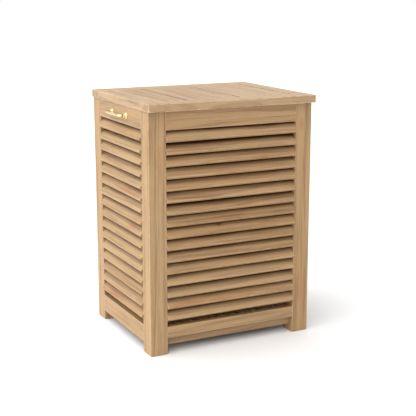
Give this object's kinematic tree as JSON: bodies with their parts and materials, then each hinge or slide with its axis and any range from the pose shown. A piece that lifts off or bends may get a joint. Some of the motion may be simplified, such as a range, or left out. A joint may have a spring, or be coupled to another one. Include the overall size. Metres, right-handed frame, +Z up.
{
  "type": "laundry hamper",
  "caption": "Free-standing wooden laundry hamper: square legs and rails, louvred sides, a slatted floor, a plank lid hinged at the back and a brass bar handle on each side.",
  "frame": {"origin": "on the floor under the centre of the four legs, which is also under the middle of the whole hamper", "axes": "+Z up, +X to the right seen from the front, +Y from the front to the back, where the lid is hinged"},
  "size_m": [0.5194, 0.412, 0.66],
  "materials": {
    "teak_frame": "fine-sanded light teak, oiled, straight grain along each piece",
    "teak_slats": "fine-sanded light teak slats, grain along the slat",
    "teak_lid": "fine-sanded light teak, eased edges",
    "teak_deck": "sawn and sanded teak deck boards",
    "brass": "polished brass",
    "stainless_steel": "plain stainless steel screws"
  },
  "bodies": {
    "hamper_box": {"deck_board_1": "teak_deck", "deck_board_2": "teak_deck", "deck_board_3": "teak_deck", "deck_board_4": "teak_deck", "deck_board_5": "teak_deck", "deck_board_6": "teak_deck", "deck_board_7": "teak_deck", "deck_screws": "stainless_steel", "front_bottom_rail": "teak_frame", "front_deck_bearer": "teak_deck", "front_left_leg": "teak_frame", "front_right_leg": "teak_frame", "front_slats_01_04": "teak_slats", "front_slats_05_08": "teak_slats", "front_slats_09_12": "teak_slats", "front_slats_13_16": "teak_slats", "front_top_rail": "teak_frame", "handle_screws": "stainless_steel", "hinge_box_screws": "brass", "left_bottom_rail": "teak_frame", "left_handle_bar": "brass", "left_handle_roses": "brass", "left_hinge_box_leaf": "brass", "left_hinge_pin": "brass", "left_slats_01_04": "teak_slats", "left_slats_05_08": "teak_slats", "left_slats_09_12": "teak_slats", "left_slats_13_16": "teak_slats", "left_top_rail": "teak_frame", "rear_bottom_rail": "teak_frame", "rear_deck_bearer": "teak_deck", "rear_left_leg": "teak_frame", "rear_right_leg": "teak_frame", "rear_slats_01_04": "teak_slats", "rear_slats_05_08": "teak_slats", "rear_slats_09_12": "teak_slats", "rear_slats_13_16": "teak_slats", "rear_top_rail": "teak_frame", "right_bottom_rail": "teak_frame", "right_handle_bar": "brass", "right_handle_roses": "brass", "right_hinge_box_leaf": "brass", "right_hinge_pin": "brass", "right_slats_01_04": "teak_slats", "right_slats_05_08": "teak_slats", "right_slats_09_12": "teak_slats", "right_slats_13_16": "teak_slats", "right_top_rail": "teak_frame"},
    "lid": {"hinge_lid_screws": "brass", "left_hinge_lid_leaf": "brass", "lid_front_rail": "teak_lid", "lid_left_stile": "teak_lid", "lid_plank_1": "teak_lid", "lid_plank_2": "teak_lid", "lid_plank_3": "teak_lid", "lid_plank_4": "teak_lid", "lid_plank_5": "teak_lid", "lid_rear_rail": "teak_lid", "lid_right_stile": "teak_lid", "right_hinge_lid_leaf": "brass"}
  },
  "joints": [
    {"name": "lid_hinge", "type": "hinge", "parent": "hamper_box", "child": "lid", "pos_m": [0, 0.1965, 0.63925], "axis": [-1, 0, 0], "range_deg": [0, 100]}
  ]
}
